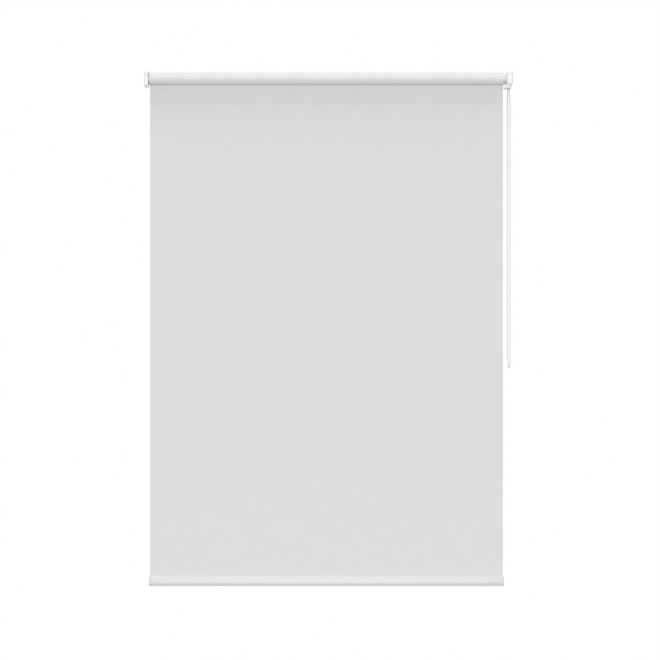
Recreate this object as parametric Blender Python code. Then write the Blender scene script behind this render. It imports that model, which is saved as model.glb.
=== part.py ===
"""Roller blind with a bead-chain clutch, lowered.

The front faces -Y, +X is to the right and the wall is the plane Y = 0. The roller axis runs
along X, AXIS_TO_WALL in front of the wall, at Z = 0. Every piece is modelled in axis-centred
coordinates and hung on an empty that stands on its joint's axis. Metres throughout.
"""

import math

import bmesh
import bpy
from mathutils import Vector

# Clearances
GAP = 0.0003  # between pieces that touch or nearly touch
PIN_CLEARANCE = 0.0003

# Fabric
FABRIC_WIDTH = 0.900
FABRIC_DROP = 1.2665  # roller axis to the top of the bottom bar
FABRIC_THICKNESS = 0.00035
ROLL_WALL = 0.0007  # two layers stay wound when the blind is down

# Roller tube
TUBE_RADIUS = 0.014
TUBE_WALL = 0.001
TUBE_OVERHANG = 0.0006  # tube end beyond the fabric edge
GROOVE_WIDTH = 0.005
GROOVE_DEPTH = 0.0022
SPLINE_HEIGHT = 0.0016

# Brackets
AXIS_TO_WALL = 0.030
PLATE_THICKNESS = 0.002
PLATE_FRONT_MARGIN = 0.0017  # plate beyond the chain guard, at the front
PLATE_TOP_MARGIN = 0.0007
LEFT_PLATE_BOTTOM = 0.0205
RIGHT_PLATE_BOTTOM = 0.0138
PLATE_CORNER = 0.005
FLANGE_REACH = 0.020  # of the wall flange behind the roll
FLANGE_HALF_HEIGHT = 0.013
SCREW_HOLE_RADIUS = 0.00225
SCREW_HOLE_SPACING = 0.014
LEFT_END_PLAY = 0.0009  # idle plug to bracket

# Bracket covers
COVER_WALL = 0.0015
COVER_MARGIN = 0.0005  # between a bracket plate's edge and its cover
LEFT_COVER_WIDTH = 0.0100
RIGHT_COVER_WIDTH = 0.0142
COVER_EDGE_ROUND = 0.0025
COVER_FRONT_ROUND = 0.006
RIGHT_COVER_LOW_ROUND = 0.0035

# End plugs
PLUG_LENGTH = 0.038
PLUG_CORE_RADIUS = 0.0112
PLUG_RIB_COUNT = 8
PLUG_RIB_WIDTH = 0.0022
IDLE_COLLAR_THICKNESS = 0.001
DRIVE_COLLAR_THICKNESS = 0.0017

# Sprung idle pin
PIN_RADIUS = 0.0025
PIN_REACH = 0.0025  # through and past the bracket plate
PIN_COLLAR_RADIUS = 0.0043
PIN_COLLAR_THICKNESS = 0.0025
PIN_TAIL_RADIUS = 0.0020
PIN_TAIL_LENGTH = 0.008
IDLE_FRONT_WALL = 0.0039
CAP_PLUG_THICKNESS = 0.0045
CAP_FLANGE_RADIUS = 0.0085
CAP_FLANGE_THICKNESS = 0.0016
IDLE_WIRE_RADIUS = 0.0004
IDLE_COIL_RADIUS = 0.0034
IDLE_COIL_TURNS = 9

# Wrap-spring clutch
SPINDLE_RADIUS = 0.0045
SPINDLE_BOSS_HALF = 0.0045
CLUTCH_WIRE_RADIUS = 0.00045
CLUTCH_COIL_TURNS = 5
CLUTCH_COIL_PITCH = 0.0012
CLUTCH_SPRING_SPACING = 0.010
SPRING_END_ANGLE = 25
KEYWAY_ANGLE = 35
KEYWAY_RADIUS = 0.0079
TANG_ANGLE = 12
HUB_RADIUS = 0.0095
HUB_LENGTH = 0.0062
CLIP_THICKNESS = 0.0008
CLIP_RADIUS = 0.0075
CLIP_GROOVE_DEPTH = 0.0012
CLIP_OPENING_ANGLE = 50
SPINDLE_TIP = 0.0033  # spindle beyond the clip groove

# Chain wheel and bead chain
BEAD_DIAMETER = 0.0045
BEAD_PITCH = 0.006
POCKET_COUNT = 12
POCKET_EXTRA = 0.0003  # pocket radius over the rim groove's
WHEEL_HALF_WIDTH = 0.0039
WHEEL_LIP = 0.0013  # rim beyond the pitch circle

# Chain guard
GUARD_WALL = 0.0014
GUARD_CLEARANCE = 0.0006  # bead to guard
GUARD_SIDE_CLEARANCE = 0.0003
BASE_PLATE_THICKNESS = 0.0013
MOUTH_BOTTOM = 0.0260
MOUTH_START = 0.0185
MOUTH_FLARE_IN = 0.0060
MOUTH_FLARE_HALF_HEIGHT = 0.0035
MOUTH_FLARE_OUT = 0.0003

# Bottom bar
BAR_HEIGHT = 0.026
BAR_EDGE_HALF = 0.0030
BAR_BULGE = 0.0032
BAR_FOOT = 0.008  # rounded lower end of the section
BAR_FOOT_END = 0.97  # share of the foot's ellipse, which leaves a narrow flat underside
BAR_WALL = 0.0012
BAR_SLOT_HALF = 0.0008
BAR_WEB_TOP = 0.0066
BAR_WEB = 0.0012
HEM_ROD_RADIUS = 0.0019
BAR_CAP_THICKNESS = 0.0016
BAR_CAP_RIM = 0.0005
BAR_CAP_PRONG = 0.012

ROUND_STEPS = 48
MIDDLE_STEPS = 32
SMALL_STEPS = 24
BAR_STEPS = 26

# Worked out from the values above
ROLL_INNER_RADIUS = TUBE_RADIUS + GAP
ROLL_RADIUS = ROLL_INNER_RADIUS + ROLL_WALL
SHEET_Y = ROLL_RADIUS + GAP + FABRIC_THICKNESS / 2
EDGE_X = FABRIC_WIDTH / 2
TUBE_END_X = EDGE_X + TUBE_OVERHANG
COLLAR_X = TUBE_END_X + GAP
PLUG_RADIUS = TUBE_RADIUS - TUBE_WALL - GAP
LEFT_PLATE_X = COLLAR_X + IDLE_COLLAR_THICKNESS + LEFT_END_PLAY
HUB_X = COLLAR_X + DRIVE_COLLAR_THICKNESS + GAP
WHEEL_X = HUB_X + HUB_LENGTH + WHEEL_HALF_WIDTH
GROOVE_RADIUS = BEAD_DIAMETER / 2 + GAP
PITCH_RADIUS = BEAD_PITCH / (2 * math.sin(math.pi / POCKET_COUNT))
CAVITY_RADIUS = PITCH_RADIUS + BEAD_DIAMETER / 2 + GUARD_CLEARANCE
GUARD_RADIUS = CAVITY_RADIUS + GUARD_WALL
CAVITY_X = WHEEL_X - WHEEL_HALF_WIDTH - GUARD_SIDE_CLEARANCE
BASE_X = WHEEL_X + WHEEL_HALF_WIDTH + 2 * GUARD_SIDE_CLEARANCE
GUARD_END_X = BASE_X + BASE_PLATE_THICKNESS
RIGHT_PLATE_X = GUARD_END_X + GAP
PLATE_FRONT = GUARD_RADIUS + PLATE_FRONT_MARGIN
PLATE_TOP = GUARD_RADIUS + PLATE_TOP_MARGIN
RIGHT_COVER_X = RIGHT_PLATE_X + PLATE_THICKNESS + GAP + COVER_WALL
SPRING_COIL_RADIUS = SPINDLE_RADIUS + GAP + CLUTCH_WIRE_RADIUS
CLUTCH_BORE_RADIUS = SPRING_COIL_RADIUS + CLUTCH_WIRE_RADIUS + GAP
PLUG_INNER_X = TUBE_END_X - PLUG_LENGTH
PIN_CHAMBER_RADIUS = PIN_COLLAR_RADIUS + GAP

# The chain's way round its wheel and down to its loop, as points on its centreline.
CHAIN_ROUTE = [
    (0.4630, -0.03025, 0.01159),
    (0.4630, -0.03580, 0.01004),
    (0.4630, -0.04004, 0.00580),
    (0.4630, -0.04159, 0.00000),
    (0.4630, -0.04164, -0.01000),
    (0.4640, -0.04180, -0.02600),
    (0.4654, -0.04200, -0.06000),
    (0.4659, -0.04190, -0.15000),
    (0.4661, -0.04160, -0.30000),
    (0.4661, -0.04130, -0.45000),
    (0.4660, -0.04100, -0.60000),
    (0.4659, -0.04075, -0.69400),
    (0.4657, -0.04060, -0.72400),
    (0.4648, -0.03790, -0.73150),
    (0.4634, -0.03020, -0.73580),
    (0.4620, -0.02250, -0.73150),
    (0.4612, -0.01980, -0.72400),
    (0.4611, -0.01960, -0.69400),
    (0.4610, -0.01920, -0.60000),
    (0.4610, -0.01880, -0.45000),
    (0.4610, -0.01850, -0.30000),
    (0.4611, -0.01820, -0.15000),
    (0.4613, -0.01810, -0.06000),
    (0.4622, -0.01825, -0.02600),
    (0.4630, -0.01838, -0.01000),
    (0.4630, -0.01841, 0.00000),
    (0.4630, -0.01996, 0.00580),
    (0.4630, -0.02420, 0.01004),
    (0.4630, -0.02975, 0.01159),
]
CHAIN_STEPS = [3, 3, 3, 1, 1, 2, 4, 5, 5, 5, 4, 2, 2, 3, 3, 2, 2, 4, 5, 5, 5, 4, 2, 1, 1, 3, 3, 3]


# ---------------------------------------------------------------- helpers


def make_material(name, colour, roughness, metallic=0.0):
    material = bpy.data.materials.new(name)
    material.use_nodes = True
    shader = material.node_tree.nodes["Principled BSDF"]
    shader.inputs["Base Color"].default_value = (*colour, 1.0)
    shader.inputs["Roughness"].default_value = roughness
    shader.inputs["Metallic"].default_value = metallic
    return material


def add_empty(name, location):
    empty = bpy.data.objects.new(name, None)
    empty.location = location
    bpy.context.collection.objects.link(empty)
    return empty


def add_object(name, data, parent):
    obj = bpy.data.objects.new(name, data)
    obj.parent = parent
    bpy.context.collection.objects.link(obj)
    return obj


def add_node(name, body, material, parent):
    mesh = bpy.data.meshes.new(name)
    body.to_mesh(mesh)
    body.free()
    mesh.shade_smooth()
    mesh.set_sharp_from_angle(angle=math.radians(35))
    mesh.materials.append(material)
    return add_object(name, mesh, parent)


def combine(obj, name, body, operation):
    """Cuts a body out of an object, or joins it on, by a live Boolean, and gives the tool back."""
    mesh = bpy.data.meshes.new(name)
    body.to_mesh(mesh)
    body.free()
    tool = add_object(name, mesh, obj.parent)
    tool.hide_render = True
    tool.display_type = "WIRE"
    modifier = obj.modifiers.new(name, "BOOLEAN")
    modifier.operation = operation
    modifier.solver = "EXACT"
    modifier.object = tool
    return tool


def cut(obj, name, body):
    return combine(obj, name, body, "DIFFERENCE")


def join(obj, name, body):
    return combine(obj, name, body, "UNION")


def closed(body):
    bmesh.ops.remove_doubles(body, verts=body.verts, dist=1e-7)
    bmesh.ops.recalc_face_normals(body, faces=body.faces)
    return body


def on_axis(axis, along, u, v):
    if axis == "X":
        return (along, u, v)
    if axis == "Y":
        return (u, along, v)
    return (u, v, along)


def prism(outline, axis, start, end):
    """A flat outline pushed along an axis. The outline's two numbers are the other axes'."""
    body = bmesh.new()
    bottom = [body.verts.new(on_axis(axis, start, u, v)) for u, v in outline]
    face = body.faces.new(bottom)
    pushed = bmesh.ops.extrude_face_region(body, geom=[face])
    moved = [item for item in pushed["geom"] if isinstance(item, bmesh.types.BMVert)]
    bmesh.ops.translate(body, verts=moved, vec=Vector(on_axis(axis, end - start, 0, 0)))
    return closed(body)


def ring_prism(outer, inner, start, end):
    """A tube along X between two outlines with equally many points."""
    body = bmesh.new()
    count = len(outer)
    loops = []
    for x, outline in ((start, outer), (end, outer), (end, inner), (start, inner)):
        loops.append([body.verts.new((x, y, z)) for y, z in outline])
    for this, after in zip(loops, loops[1:] + loops[:1]):
        for i in range(count):
            k = (i + 1) % count
            body.faces.new((this[i], this[k], after[k], after[i]))
    return closed(body)


def turned(profile, steps=ROUND_STEPS, ring=True):
    """An (x, radius) profile spun about the X axis. A ring's profile closes on itself."""
    body = bmesh.new()
    verts = [body.verts.new((x, 0, radius)) for x, radius in profile]
    pairs = list(zip(verts, verts[1:]))
    if ring:
        pairs.append((verts[-1], verts[0]))
    edges = [body.edges.new(pair) for pair in pairs]
    bmesh.ops.spin(
        body,
        geom=verts + edges,
        cent=(0, 0, 0),
        axis=(1, 0, 0),
        angle=2 * math.pi,
        steps=steps,
        use_merge=True,
    )
    return closed(body)


def arc(centre, radius, first, last, steps):
    """Points on an arc, from one angle to another in degrees, both ends included."""
    points = []
    for i in range(steps + 1):
        angle = math.radians(first + (last - first) * i / steps)
        points.append((centre[0] + radius * math.cos(angle), centre[1] + radius * math.sin(angle)))
    return points


def circle(centre, radius, steps=SMALL_STEPS):
    return arc(centre, radius, 0, 360, steps)[:-1]


def rectangle(u_low, u_high, v_low, v_high):
    return [(u_low, v_low), (u_high, v_low), (u_high, v_high), (u_low, v_high)]


def cylinder(axis, centre, radius, start, end, steps=SMALL_STEPS):
    return prism(circle(centre, radius, steps), axis, start, end)


def rounded_front(front, back, low, high, low_radius, high_radius):
    """A (y, z) rectangle whose two front corners are round."""
    lower = arc((front + low_radius, low + low_radius), low_radius, 270, 180, 6)
    upper = arc((front + high_radius, high - high_radius), high_radius, 180, 90, 6)
    return [(back, low)] + lower + upper + [(back, high)]


def sector(inner, outer, half_angle, steps=6, middle=90):
    """A block bounded by two arcs about the axis, as a (y, z) outline."""
    low = middle - half_angle
    high = middle + half_angle
    return arc((0, 0), inner, low, high, steps) + arc((0, 0), outer, high, low, steps)


def poly_curve(name, points, radius, sides_level, material, parent):
    """A solid wire that follows points, as a bevelled curve with closed ends."""
    curve = bpy.data.curves.new(name, "CURVE")
    curve.dimensions = "3D"
    curve.bevel_depth = radius
    curve.bevel_resolution = sides_level
    curve.use_fill_caps = True
    spline = curve.splines.new("POLY")
    spline.points.add(len(points) - 1)
    for spot, point in zip(spline.points, points):
        spot.co = (*point, 1.0)
    curve.materials.append(material)
    return add_object(name, curve, parent)


def smooth_line(route, steps):
    """Points on the smooth curve through a route, with a number of steps for each stretch."""
    points = [Vector(point) for point in route]
    padded = [2 * points[0] - points[1]] + points + [2 * points[-1] - points[-2]]
    line = [points[0]]
    for k, count in enumerate(steps):
        before, start, end, after = padded[k : k + 4]
        span = (end - start).length
        start_slope = tangent(before, start, end) * span
        end_slope = tangent(start, end, after) * span
        for i in range(1, count + 1):
            t = i / count
            place = start * (2 * t**3 - 3 * t**2 + 1) + end * (3 * t**2 - 2 * t**3)
            line.append(place + start_slope * (t**3 - 2 * t**2 + t) + end_slope * (t**3 - t**2))
    return line


def tangent(before, here, after):
    """The direction of the circle through three points, at the middle one."""
    arriving = here - before
    leaving = after - here
    mixed = arriving.normalized() * leaving.length + leaving.normalized() * arriving.length
    return mixed.normalized()


# ---------------------------------------------------------------- brackets and covers


def add_bracket(name, side, plate_x, plate_bottom, flange_x, material, parent):
    """A bent steel bracket: a side plate outside the roll and a wall flange behind it."""
    outer_x = plate_x + PLATE_THICKNESS
    corner = PLATE_CORNER
    outline = rounded_front(-PLATE_FRONT, AXIS_TO_WALL, -plate_bottom, PLATE_TOP, corner, corner)
    bracket = add_node(name, prism(outline, "X", side * plate_x, side * outer_x), material, parent)
    flange_face = AXIS_TO_WALL - PLATE_THICKNESS
    half = FLANGE_HALF_HEIGHT
    tip = rounded_front(flange_x, outer_x, -half, half, corner, corner)
    flange_outline = [(side * u, v) for u, v in tip]
    join(bracket, name + "_flange", prism(flange_outline, "Y", flange_face, AXIS_TO_WALL))
    for sign in (-1, 1):
        centre = (side * (flange_x + FLANGE_REACH / 2), sign * SCREW_HOLE_SPACING / 2)
        hole = cylinder("Y", centre, SCREW_HOLE_RADIUS, flange_face - GAP, AXIS_TO_WALL + GAP)
        cut(bracket, f"{name}_screw_hole_{sign}", hole)
    return bracket


def add_left_bracket(material, parent):
    flange_x = LEFT_PLATE_X - FLANGE_REACH
    bracket = add_bracket("left_bracket", -1, LEFT_PLATE_X, LEFT_PLATE_BOTTOM, flange_x, material, parent)
    hole_start = -LEFT_PLATE_X - PLATE_THICKNESS - GAP
    hole = cylinder("X", (0, 0), PIN_RADIUS + PIN_CLEARANCE, hole_start, -LEFT_PLATE_X + GAP)
    cut(bracket, "left_bracket_pin_hole", hole)


def add_right_bracket(material, parent):
    """Its flange reaches past the chain guard to behind the roll."""
    flange_x = EDGE_X + LEFT_END_PLAY - FLANGE_REACH
    bracket = add_bracket("right_bracket", 1, RIGHT_PLATE_X, RIGHT_PLATE_BOTTOM, flange_x, material, parent)
    half = SPINDLE_BOSS_HALF + GAP
    outline = rectangle(-half, half, -half, half)
    window = prism(outline, "X", RIGHT_PLATE_X - GAP, RIGHT_PLATE_X + PLATE_THICKNESS + GAP)
    cut(bracket, "right_bracket_window", window)


def round_outer_rim(body, outer_x, back_y):
    """Rounds the edges of a cover's outer face, but not the edge against the wall."""
    rim = []
    for edge in body.edges:
        on_face = all(abs(vert.co.x - outer_x) < GAP / 10 for vert in edge.verts)
        at_wall = all(abs(vert.co.y - back_y) < GAP / 10 for vert in edge.verts)
        if on_face and not at_wall:
            rim.append(edge)
    bmesh.ops.bevel(
        body, geom=rim, offset=COVER_EDGE_ROUND, segments=4, profile=0.5, affect="EDGES"
    )


def add_cover(name, side, outer_x, width, plate_bottom, low_round, material, parent):
    """A moulded cap, open towards the roll and the wall, over a bracket's plate."""
    margin = COVER_MARGIN + COVER_WALL
    front = -PLATE_FRONT - margin
    low = -plate_bottom - margin
    high = PLATE_TOP + margin
    back = AXIS_TO_WALL - GAP
    outline = rounded_front(front, back, low, high, low_round, COVER_FRONT_ROUND)
    shell = prism(outline, "X", side * (outer_x - width), side * outer_x)
    round_outer_rim(shell, side * outer_x, back)
    cover = add_node(name, shell, material, parent)
    inside = rounded_front(
        front + COVER_WALL,
        back + COVER_WALL,
        low + COVER_WALL,
        high - COVER_WALL,
        low_round - COVER_WALL,
        COVER_FRONT_ROUND - COVER_WALL,
    )
    pocket = prism(inside, "X", side * (outer_x - width - GAP), side * (outer_x - COVER_WALL))
    cut(cover, name + "_pocket", pocket)
    return cover


def add_left_cover(material, parent):
    outer_x = LEFT_PLATE_X - GAP + LEFT_COVER_WIDTH
    add_cover(
        "left_bracket_cover",
        -1,
        outer_x,
        LEFT_COVER_WIDTH,
        LEFT_PLATE_BOTTOM,
        COVER_FRONT_ROUND,
        material,
        parent,
    )


def add_right_cover(material, parent):
    """Its floor stops at the bracket plate, so that the chain guard's mouth comes through."""
    cover = add_cover(
        "right_bracket_cover",
        1,
        RIGHT_COVER_X,
        RIGHT_COVER_WIDTH,
        RIGHT_PLATE_BOTTOM,
        RIGHT_COVER_LOW_ROUND,
        material,
        parent,
    )
    margin = COVER_MARGIN + COVER_WALL
    low = -RIGHT_PLATE_BOTTOM - margin
    front = -PLATE_FRONT - COVER_MARGIN
    notch = prism(
        rectangle(front, AXIS_TO_WALL, low - COVER_WALL, low + COVER_WALL + GAP),
        "X",
        RIGHT_COVER_X - RIGHT_COVER_WIDTH - GAP,
        GUARD_END_X + GAP,
    )
    cut(cover, "right_cover_notch", notch)


# ---------------------------------------------------------------- roller, plugs and fabric


def tube_outline(radius, groove_half, groove_floor):
    """A (y, z) circle with a flat-bottomed groove at the top."""
    start = math.degrees(math.acos(groove_half / radius))
    points = arc((0, 0), radius, start, start - 2 * start - 180, ROUND_STEPS)
    return points + [(-groove_half, groove_floor), (groove_half, groove_floor)]


def add_roller_tube(material, parent):
    floor = TUBE_RADIUS - GROOVE_DEPTH
    outer = tube_outline(TUBE_RADIUS, GROOVE_WIDTH / 2, floor)
    inner = tube_outline(TUBE_RADIUS - TUBE_WALL, GROOVE_WIDTH / 2 + TUBE_WALL, floor - TUBE_WALL)
    add_node("roller_tube", ring_prism(outer, inner, -TUBE_END_X, TUBE_END_X), material, parent)


def add_fabric_spline(material, parent):
    half = GROOVE_WIDTH / 2 - GAP
    low = TUBE_RADIUS - GROOVE_DEPTH + GAP
    outline = rectangle(-half, half, low, low + SPLINE_HEIGHT)
    add_node("fabric_spline", prism(outline, "X", -EDGE_X, EDGE_X), material, parent)


def add_fabric_roll(material, parent):
    outer = circle((0, 0), ROLL_RADIUS, ROUND_STEPS)
    inner = circle((0, 0), ROLL_INNER_RADIUS, ROUND_STEPS)
    add_node("fabric_roll", ring_prism(outer, inner, -EDGE_X, EDGE_X), material, parent)


def add_fabric_panel(material, parent):
    """The hanging fabric, from the back of the roll down to the rod in the bar."""
    bottom = -FABRIC_DROP - BAR_WALL
    outline = rectangle(SHEET_Y - FABRIC_THICKNESS / 2, SHEET_Y + FABRIC_THICKNESS / 2, bottom, 0)
    add_node("fabric_panel", prism(outline, "X", -EDGE_X, EDGE_X), material, parent)


def add_plug(name, side, collar, material, parent):
    """A ribbed sleeve pushed into the tube's end, with a collar over it, still solid inside."""
    body = turned(
        [
            (side * PLUG_INNER_X, 0),
            (side * PLUG_INNER_X, PLUG_CORE_RADIUS),
            (side * COLLAR_X, PLUG_CORE_RADIUS),
            (side * COLLAR_X, TUBE_RADIUS),
            (side * (COLLAR_X + collar), TUBE_RADIUS),
            (side * (COLLAR_X + collar), 0),
        ],
        ring=False,
    )
    plug = add_node(name, body, material, parent)
    for i in range(PLUG_RIB_COUNT):
        middle = 360 * (i + 0.5) / PLUG_RIB_COUNT + 90
        half = math.degrees(PLUG_RIB_WIDTH / 2 / PLUG_RADIUS)
        outline = sector(PLUG_CORE_RADIUS - PLUG_RIB_WIDTH, PLUG_RADIUS, half, 2, middle)
        rib = prism(outline, "X", side * PLUG_INNER_X, side * (COLLAR_X + collar / 2))
        join(plug, f"{name}_rib_{i}", rib)
    half = GROOVE_WIDTH / 2 + TUBE_WALL + GAP
    floor = TUBE_RADIUS - GROOVE_DEPTH - TUBE_WALL - GAP
    keyway = prism(
        rectangle(-half, half, floor, PLUG_RADIUS + GAP),
        "X",
        side * (PLUG_INNER_X - GAP),
        side * COLLAR_X,
    )
    cut(plug, name + "_tube_key", keyway)
    return plug


def add_drive_plug(material, parent):
    """Its bore runs on the wrap springs, and its keyway takes their ends and the wheel's tang."""
    plug = add_plug("drive_plug", 1, DRIVE_COLLAR_THICKNESS, material, parent)
    end_x = COLLAR_X + DRIVE_COLLAR_THICKNESS + GAP
    bore = cylinder("X", (0, 0), CLUTCH_BORE_RADIUS, PLUG_INNER_X - GAP, end_x, ROUND_STEPS)
    cut(plug, "drive_plug_bore", bore)
    outline = sector(SPINDLE_RADIUS, KEYWAY_RADIUS, KEYWAY_ANGLE)
    cut(plug, "drive_plug_keyway", prism(outline, "X", PLUG_INNER_X - GAP, end_x))


def add_idle_plug(material, parent):
    """A chamber for the sprung pin, with a hole at its front."""
    plug = add_plug("idle_plug", -1, IDLE_COLLAR_THICKNESS, material, parent)
    front_x = -COLLAR_X - IDLE_COLLAR_THICKNESS
    hole = cylinder("X", (0, 0), PIN_RADIUS + PIN_CLEARANCE, front_x - GAP, -PLUG_INNER_X)
    cut(plug, "idle_plug_hole", hole)
    chamber_x = front_x + IDLE_FRONT_WALL
    chamber = cylinder("X", (0, 0), PIN_CHAMBER_RADIUS, chamber_x, -PLUG_INNER_X + GAP, MIDDLE_STEPS)
    cut(plug, "idle_plug_chamber", chamber)


def add_idle_pin(material, parent):
    front_x = -COLLAR_X - IDLE_COLLAR_THICKNESS + IDLE_FRONT_WALL + GAP
    tip_x = -LEFT_PLATE_X - PLATE_THICKNESS - PIN_REACH
    collar_end = front_x + PIN_COLLAR_THICKNESS
    tail_end = collar_end + PIN_TAIL_LENGTH
    chamfer = PIN_RADIUS / 3
    profile = [
        (tip_x, 0),
        (tip_x, PIN_RADIUS - chamfer),
        (tip_x + chamfer, PIN_RADIUS),
        (front_x, PIN_RADIUS),
        (front_x, PIN_COLLAR_RADIUS),
        (collar_end, PIN_COLLAR_RADIUS),
        (collar_end, PIN_TAIL_RADIUS),
        (tail_end, PIN_TAIL_RADIUS),
        (tail_end, 0),
    ]
    add_node("idle_pin", turned(profile, SMALL_STEPS, ring=False), material, parent)


def idle_spring_ends():
    """Where the idle spring starts, on the pin's collar, and where it ends, on the cap."""
    start = -COLLAR_X - IDLE_COLLAR_THICKNESS + IDLE_FRONT_WALL + PIN_COLLAR_THICKNESS + 2 * GAP
    end = -PLUG_INNER_X - CAP_PLUG_THICKNESS - GAP
    return start, end


def add_idle_plug_cap(material, parent):
    """Closes the chamber and carries the spring."""
    inner_x = -PLUG_INNER_X - CAP_PLUG_THICKNESS
    flange_x = -PLUG_INNER_X + GAP
    profile = [
        (inner_x, 0),
        (inner_x, PIN_CHAMBER_RADIUS - GAP),
        (flange_x, PIN_CHAMBER_RADIUS - GAP),
        (flange_x, CAP_FLANGE_RADIUS),
        (flange_x + CAP_FLANGE_THICKNESS, CAP_FLANGE_RADIUS),
        (flange_x + CAP_FLANGE_THICKNESS, 0),
    ]
    add_node("idle_plug_cap", turned(profile, MIDDLE_STEPS, ring=False), material, parent)


def add_idle_spring(material, parent):
    start, end = idle_spring_ends()
    steps = 16
    count = IDLE_COIL_TURNS * steps
    points = []
    for i in range(count + 1):
        x = start + IDLE_WIRE_RADIUS + (end - start - 2 * IDLE_WIRE_RADIUS) * i / count
        angle = 2 * math.pi * i / steps
        points.append((x, IDLE_COIL_RADIUS * math.cos(angle), IDLE_COIL_RADIUS * math.sin(angle)))
    poly_curve("idle_spring", points, IDLE_WIRE_RADIUS, 1, material, parent)


# ---------------------------------------------------------------- clutch and chain


def add_clutch_spring(name, middle_x, material, parent):
    """A wrap spring on the spindle, its two ends bent out on either side of the wheel's tang."""
    steps = 16
    sweep = 360 * CLUTCH_COIL_TURNS - 2 * SPRING_END_ANGLE
    count = round(steps * sweep / 360)
    length = CLUTCH_COIL_PITCH * sweep / 360
    out_radius = KEYWAY_RADIUS - 2 * CLUTCH_WIRE_RADIUS
    bend_radius = SPRING_COIL_RADIUS + CLUTCH_WIRE_RADIUS
    points = []
    for i in range(count + 1):
        angle = math.radians(90 + SPRING_END_ANGLE + sweep * i / count)
        x = middle_x + length * (i / count - 0.5)
        if i in (0, count):
            radii = (out_radius, bend_radius)
        else:
            radii = (SPRING_COIL_RADIUS,)
        if i == count:
            radii = radii[::-1]
        for radius in radii:
            points.append((x, radius * math.cos(angle), radius * math.sin(angle)))
    poly_curve(name, points, CLUTCH_WIRE_RADIUS, 1, material, parent)


def add_clutch_springs(material, parent):
    middle = (PLUG_INNER_X + COLLAR_X) / 2
    half = CLUTCH_SPRING_SPACING / 2
    add_clutch_spring("clutch_spring_inner", middle - half, material, parent)
    add_clutch_spring("clutch_spring_outer", middle + half, material, parent)


def guard_outline(radius, low):
    """A (y, z) arch: a half circle over straight legs."""
    return [(radius, low)] + arc((0, 0), radius, 0, 180, 24) + [(-radius, low)]


def add_clutch_base(material, parent):
    """The fixed spindle, its plate inside the chain guard and its square boss in the bracket."""
    clip_x = PLUG_INNER_X - GAP - CLIP_THICKNESS - GAP
    tip_x = clip_x - SPINDLE_TIP
    neck = SPINDLE_RADIUS - CLIP_GROOVE_DEPTH
    profile = [
        (tip_x, 0),
        (tip_x, SPINDLE_RADIUS),
        (clip_x, SPINDLE_RADIUS),
        (clip_x, neck),
        (clip_x + CLIP_THICKNESS + 2 * GAP, neck),
        (clip_x + CLIP_THICKNESS + 2 * GAP, SPINDLE_RADIUS),
        (BASE_X + BASE_PLATE_THICKNESS / 2, SPINDLE_RADIUS),
        (BASE_X + BASE_PLATE_THICKNESS / 2, 0),
    ]
    base = add_node("clutch_base", turned(profile, MIDDLE_STEPS, ring=False), material, parent)
    plate_radius = CAVITY_RADIUS - GAP
    plate = prism(guard_outline(plate_radius, -plate_radius), "X", BASE_X, GUARD_END_X)
    join(base, "clutch_base_plate", plate)
    half = SPINDLE_BOSS_HALF
    boss_end = RIGHT_PLATE_X + PLATE_THICKNESS - GAP
    boss = prism(rectangle(-half, half, -half, half), "X", BASE_X + BASE_PLATE_THICKNESS / 2, boss_end)
    join(base, "clutch_base_boss", boss)


def add_clutch_end_clip(material, parent):
    """An open ring in the spindle's groove, which keeps the drive plug on."""
    clip_x = PLUG_INNER_X - GAP - CLIP_THICKNESS
    inner = SPINDLE_RADIUS - CLIP_GROOVE_DEPTH + GAP
    outline = sector(inner, CLIP_RADIUS, 180 - CLIP_OPENING_ANGLE, 20)
    add_node("clutch_end_clip", prism(outline, "X", clip_x, clip_x + CLIP_THICKNESS), material, parent)


def add_chain_wheel(material, parent):
    """A grooved rim with a pocket for each bead, a hub through the guard and a tang."""
    rim_radius = PITCH_RADIUS + WHEEL_LIP
    groove_reach = math.degrees(math.asin(WHEEL_LIP / GROOVE_RADIUS))
    low_x = WHEEL_X - WHEEL_HALF_WIDTH
    high_x = WHEEL_X + WHEEL_HALF_WIDTH
    bore = SPINDLE_RADIUS + GAP
    profile = [(HUB_X, bore), (HUB_X, HUB_RADIUS), (low_x, HUB_RADIUS), (low_x, rim_radius)]
    profile += arc((WHEEL_X, PITCH_RADIUS), GROOVE_RADIUS, 180 - groove_reach, 360 + groove_reach, 14)
    profile += [(high_x, rim_radius), (high_x, bore)]
    wheel = add_node("chain_wheel", turned(profile), material, parent)
    tang_outline = sector(CLUTCH_BORE_RADIUS + GAP, KEYWAY_RADIUS - 2 * GAP, TANG_ANGLE, 4)
    tang = prism(tang_outline, "X", PLUG_INNER_X + GAP, HUB_X + HUB_LENGTH / 2)
    join(wheel, "chain_wheel_tang", tang)
    pockets = bmesh.new()
    for i in range(POCKET_COUNT):
        angle = 2 * math.pi * i / POCKET_COUNT
        ball = bmesh.ops.create_icosphere(pockets, subdivisions=2, radius=GROOVE_RADIUS + POCKET_EXTRA)
        place = Vector((WHEEL_X, PITCH_RADIUS * math.cos(angle), PITCH_RADIUS * math.sin(angle)))
        bmesh.ops.translate(pockets, verts=ball["verts"], vec=place)
    cut(wheel, "chain_wheel_pockets", pockets)


def guard_side_outline(inset, low, top, open_x):
    """The chain guard as an (x, z) outline, inset by a wall: straight, then flared at its mouth."""
    left = CAVITY_X - GUARD_WALL + inset
    right = GUARD_END_X + MOUTH_FLARE_OUT - inset
    return [
        (left, top),
        (left, -MOUTH_START + MOUTH_FLARE_HALF_HEIGHT),
        (left - MOUTH_FLARE_IN, -MOUTH_START - MOUTH_FLARE_HALF_HEIGHT),
        (left - MOUTH_FLARE_IN, low),
        (right, low),
        (right, -MOUTH_START - MOUTH_FLARE_OUT),
        (open_x, -MOUTH_START),
        (open_x, top),
    ]


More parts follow.
